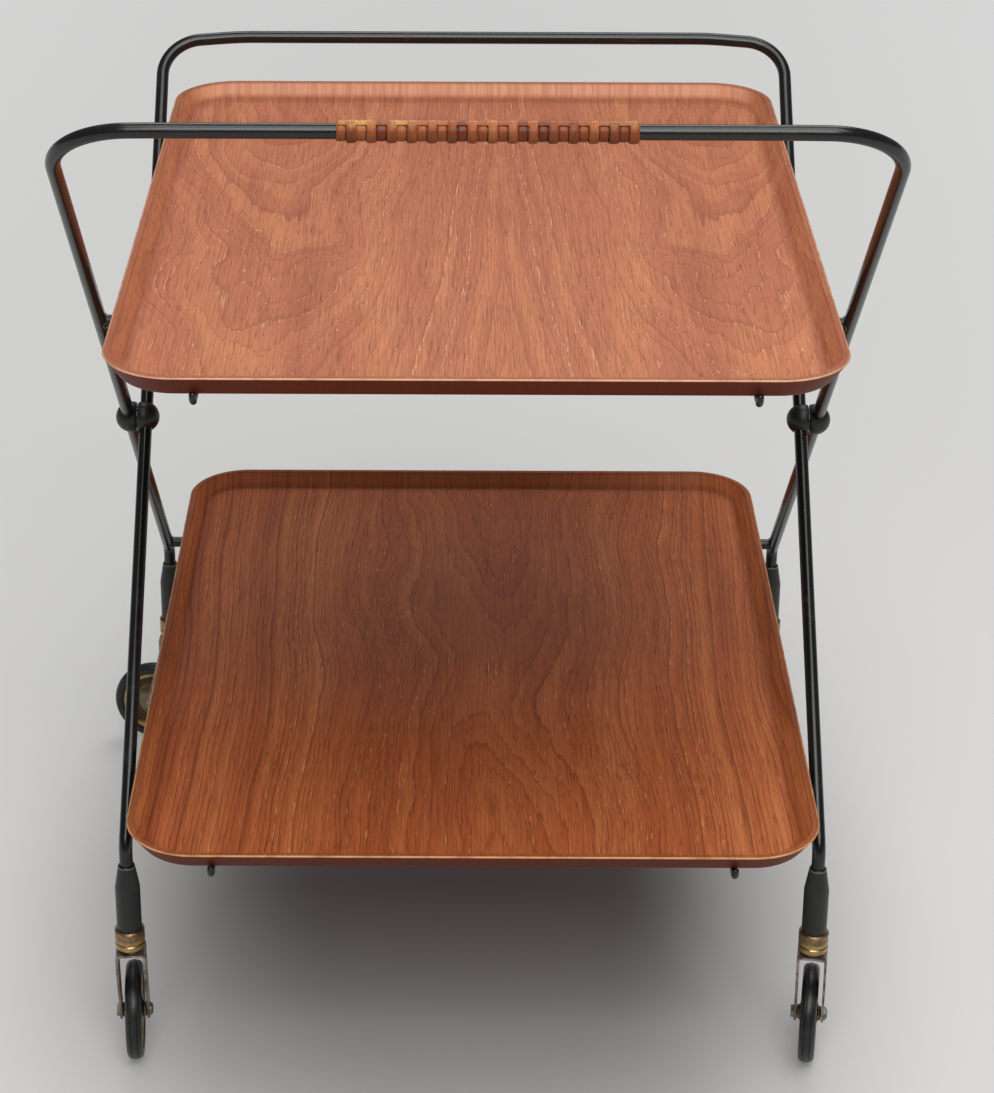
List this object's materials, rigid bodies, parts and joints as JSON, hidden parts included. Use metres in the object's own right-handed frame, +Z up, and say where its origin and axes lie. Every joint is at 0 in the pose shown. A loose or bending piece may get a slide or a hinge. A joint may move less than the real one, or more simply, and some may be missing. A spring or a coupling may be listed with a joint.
{
  "type": "folding serving trolley",
  "caption": "Folding serving trolley: crossed bent-bar frames on swivel casters, push handle with wound grip, rear rail, and loose pressed-ply trays on hooked wire runners.",
  "frame": {"origin": "on the floor, midway between the sides, straight under the fold axis of the crossed frames", "axes": "+Z up, +Y towards the rear rail, -Y towards the push handle, +X to the right seen from the handle side"},
  "size_m": [0.6036, 0.6652, 0.7945],
  "materials": {
    "black_lacquer": "satin",
    "black_moulding": "satin",
    "teak_ply": "satin",
    "cane_winding": "satin",
    "brass": "worn",
    "fork_steel": "tarnished",
    "zinc_steel": "satin",
    "tyre_rubber": "matte"
  },
  "bodies": {
    "hoop": {"hoop_frame": "black_lacquer", "hoop_upper_crossbar": "black_lacquer", "hoop_lower_crossbar": "black_lacquer", "inner_pivot_ball_left": "black_moulding", "inner_pivot_ball_right": "black_moulding", "pivot_screw_left": "zinc_steel", "pivot_screw_right": "zinc_steel", "pivot_nuts": "zinc_steel", "pivot_washers": "zinc_steel", "leg_sleeve_front_left": "black_moulding", "leg_sleeve_front_right": "black_moulding", "stem_collar_front_left": "brass", "stem_collar_front_right": "brass"},
    "handle": {"handle_frame": "black_lacquer", "handle_upper_crossbar": "black_lacquer", "handle_lower_crossbar": "black_lacquer", "outer_pivot_ball_left": "black_moulding", "outer_pivot_ball_right": "black_moulding", "handle_wrap": "cane_winding", "leg_sleeve_rear_left": "black_moulding", "leg_sleeve_rear_right": "black_moulding", "stem_collar_rear_left": "brass", "stem_collar_rear_right": "brass"},
    "upper_cradle": {"upper_runner_left": "black_lacquer", "upper_runner_right": "black_lacquer", "upper_hinge_hooks": "black_lacquer", "upper_stop_pegs": "black_lacquer"},
    "lower_cradle": {"lower_runner_left": "black_lacquer", "lower_runner_right": "black_lacquer", "lower_hinge_hooks": "black_lacquer", "lower_stop_pegs": "black_lacquer"},
    "upper_tray": {"upper_tray": "teak_ply"},
    "lower_tray": {"lower_tray": "teak_ply"},
    "caster_front_left": {"caster_stem_front_left": "zinc_steel", "caster_fork_front_left": "fork_steel", "axle_bolt_front_left": "zinc_steel", "axle_nut_front_left": "zinc_steel"},
    "wheel_front_left": {"wheel_hub_front_left": "brass", "wheel_tyre_front_left": "tyre_rubber"},
    "caster_front_right": {"caster_stem_front_right": "zinc_steel", "caster_fork_front_right": "fork_steel", "axle_bolt_front_right": "zinc_steel", "axle_nut_front_right": "zinc_steel"},
    "wheel_front_right": {"wheel_hub_front_right": "brass", "wheel_tyre_front_right": "tyre_rubber"},
    "caster_rear_left": {"caster_stem_rear_left": "zinc_steel", "caster_fork_rear_left": "fork_steel", "axle_bolt_rear_left": "zinc_steel", "axle_nut_rear_left": "zinc_steel"},
    "wheel_rear_left": {"wheel_hub_rear_left": "brass", "wheel_tyre_rear_left": "tyre_rubber"},
    "caster_rear_right": {"caster_stem_rear_right": "zinc_steel", "caster_fork_rear_right": "fork_steel", "axle_bolt_rear_right": "zinc_steel", "axle_nut_rear_right": "zinc_steel"},
    "wheel_rear_right": {"wheel_hub_rear_right": "brass", "wheel_tyre_rear_right": "tyre_rubber"}
  },
  "joints": [
    {"name": "frame_fold", "type": "hinge", "parent": "hoop", "child": "handle", "pos_m": [0, 0, 0.43], "axis": [-1, 0, 0], "range_deg": [0, 36]},
    {"name": "upper_cradle_tilt", "type": "hinge", "parent": "hoop", "child": "upper_cradle", "pos_m": [0, 0.14647, 0.569], "axis": [-1, 0, 0], "range_deg": [0, 18]},
    {"name": "lower_cradle_tilt", "type": "hinge", "parent": "hoop", "child": "lower_cradle", "pos_m": [0, -0.2371, 0.205], "axis": [-1, 0, 0], "range_deg": [0, 18]},
    {"name": "upper_tray_lift", "type": "slide", "parent": "upper_cradle", "child": "upper_tray", "axis": [0, 0, 1], "range_m": [0, 0.012]},
    {"name": "lower_tray_lift", "type": "slide", "parent": "lower_cradle", "child": "lower_tray", "axis": [0, 0, 1], "range_m": [0, 0.06]},
    {"name": "swivel_front_left", "type": "hinge", "parent": "hoop", "child": "caster_front_left", "pos_m": [-0.255, -0.24764, 0.1078], "axis": [0, 0, 1], "continuous": true},
    {"name": "roll_front_left", "type": "hinge", "parent": "caster_front_left", "child": "wheel_front_left", "pos_m": [-0.25626, -0.22968, 0.0375], "axis": [0.9976, 0.0698, 0], "continuous": true},
    {"name": "swivel_front_right", "type": "hinge", "parent": "hoop", "child": "caster_front_right", "pos_m": [0.255, -0.24764, 0.1078], "axis": [0, 0, 1], "continuous": true},
    {"name": "roll_front_right", "type": "hinge", "parent": "caster_front_right", "child": "wheel_front_right", "pos_m": [0.25782, -0.22986, 0.0375], "axis": [0.9877, -0.1564, 0], "continuous": true},
    {"name": "swivel_rear_left", "type": "hinge", "parent": "handle", "child": "caster_rear_left", "pos_m": [-0.268, 0.23914, 0.1078], "axis": [0, 0, 1], "continuous": true},
    {"name": "roll_rear_left", "type": "hinge", "parent": "caster_rear_left", "child": "wheel_rear_left", "pos_m": [-0.2859, 0.24102, 0.0375], "axis": [0.1045, 0.9945, 0], "continuous": true},
    {"name": "swivel_rear_right", "type": "hinge", "parent": "handle", "child": "caster_rear_right", "pos_m": [0.268, 0.23914, 0.1078], "axis": [0, 0, 1], "continuous": true},
    {"name": "roll_rear_right", "type": "hinge", "parent": "caster_rear_right", "child": "wheel_rear_right", "pos_m": [0.26612, 0.25704, 0.0375], "axis": [0.9945, 0.1045, 0], "continuous": true}
  ],
  "couplings": [
    {"joint": "upper_cradle_tilt", "follows": "frame_fold", "ratio": 0.491},
    {"joint": "lower_cradle_tilt", "follows": "frame_fold", "ratio": 0.487}
  ]
}
